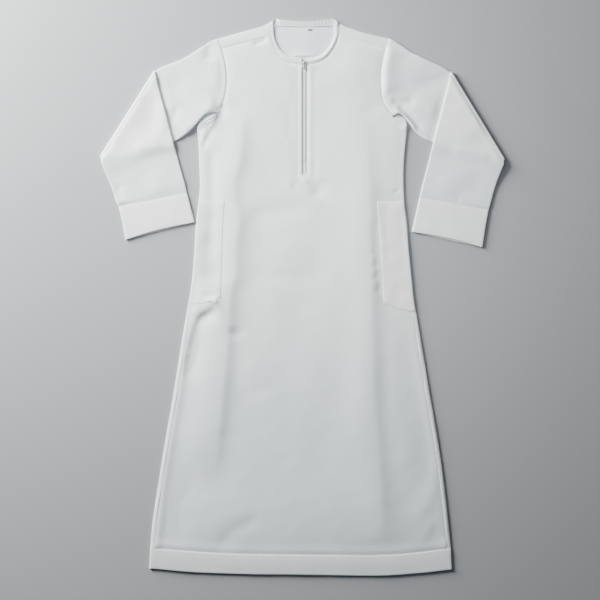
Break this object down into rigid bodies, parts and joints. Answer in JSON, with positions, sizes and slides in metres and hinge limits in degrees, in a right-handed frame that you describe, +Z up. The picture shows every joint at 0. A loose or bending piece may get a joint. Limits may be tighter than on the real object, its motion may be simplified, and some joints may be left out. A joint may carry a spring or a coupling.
{
  "type": "thobe robe",
  "caption": "Long white collarless robe laid flat on its back, with a zip at the neck, side pockets and both sleeves folded in at the elbow.",
  "frame": {"origin": "middle of the laid garment's outline, on the surface that it rests on", "axes": "+Y towards the neck, +Z up out of the front, +X towards the garment's own left sleeve"},
  "size_m": [1.0518, 1.447, 0.01],
  "materials": {
    "white_cloth": "matte plain weave",
    "doubled_cloth": "the same cloth in two layers, matte",
    "zip_tape": "matte woven tape",
    "zip_coil": "white nylon",
    "zip_metal": "bright plated metal",
    "grey_tab": "dark woven tab, bare"
  },
  "bodies": {
    "garment": {"back": "white_cloth", "front": "white_cloth", "sleeve_left": "white_cloth", "sleeve_right": "white_cloth", "pocket_left": "doubled_cloth", "pocket_right": "doubled_cloth", "neckband": "doubled_cloth", "cuff_left": "doubled_cloth", "cuff_right": "doubled_cloth", "hem": "doubled_cloth", "zip_tape_left": "zip_tape", "zip_tape_right": "zip_tape", "zip_coil": "zip_coil", "zip_slider": "zip_metal", "size_tab": "grey_tab"},
    "pull_tab": {"zip_pull": "zip_metal"}
  },
  "joints": [
    {"name": "pull_tab_swing", "type": "hinge", "parent": "garment", "child": "pull_tab", "pos_m": [0.004, 0.6115, 0.0065], "axis": [-1, 0, 0], "range_deg": [0, 170]}
  ]
}
